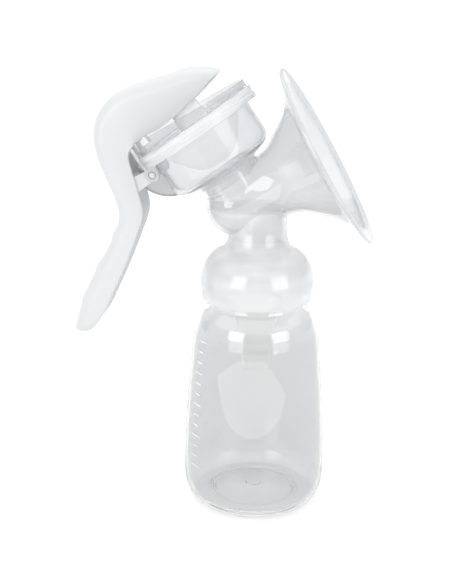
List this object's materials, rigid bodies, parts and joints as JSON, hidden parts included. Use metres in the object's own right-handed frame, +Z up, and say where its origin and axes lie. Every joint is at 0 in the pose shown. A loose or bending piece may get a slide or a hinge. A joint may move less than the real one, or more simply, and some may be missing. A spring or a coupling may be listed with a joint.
{
  "type": "manual breast pump",
  "caption": "Hand-worked breast pump: a lever handle lifts a silicone diaphragm in a clear cup beside a flared funnel, screwed on to a clear feeding bottle.",
  "frame": {"origin": "middle of the whole pump's box, on the surface that the bottle stands on; the bottle's axis is 13.88 mm towards +X", "axes": "+Z up along the bottle's axis; +X out of the funnel, with the handle on the -X side; +Y to the pump's far side, across its plane of symmetry"},
  "size_m": [0.117, 0.074, 0.1733],
  "materials": {
    "clear_body": "clear polypropylene, glossy, slightly hazy, milky in the collar",
    "clear_bottle": "clear, glossy, faint grey",
    "clear_cup": "clear polypropylene, glossy",
    "white_plastic": "white, satin, softly rounded",
    "milky_plastic": "translucent white, satin",
    "silicone": "translucent whitish silicone, matt"
  },
  "bodies": {
    "bottle": {"bottle": "clear_bottle"},
    "seal": {"neck_seal": "silicone"},
    "head": {"pump_body": "clear_body", "duckbill_valve": "silicone", "vacuum_cup": "clear_cup", "diaphragm": "silicone", "lid_ring": "clear_cup"},
    "piston": {"pull_stem": "milky_plastic"},
    "lever": {"handle": "white_plastic"}
  },
  "joints": [
    {"name": "seal_lift", "type": "slide", "parent": "bottle", "child": "seal", "axis": [0, 0, 1], "range_m": [0, 0.00501]},
    {"name": "pump_unscrew", "type": "hinge", "parent": "seal", "child": "head", "pos_m": [0.01388, 0, 0.09], "axis": [0, 0, 1], "range_deg": [0, 450]},
    {"name": "handle_squeeze", "type": "hinge", "parent": "head", "child": "lever", "pos_m": [-0.02579, 0, 0.13343], "axis": [0, -1, 0], "range_deg": [0, 22], "stiffness_Nm_per_rad": 1, "springref_deg": -5.73},
    {"name": "stem_pull", "type": "slide", "parent": "head", "child": "piston", "axis": [-0.5693, 0, 0.8221], "range_m": [0, 0.0108], "deforming": ["diaphragm"]}
  ],
  "couplings": [
    {"joint": "seal_lift", "follows": "pump_unscrew", "m_per_rad": 0.00063662},
    {"joint": "handle_squeeze", "follows": "stem_pull", "rad_per_m": 35.553}
  ]
}
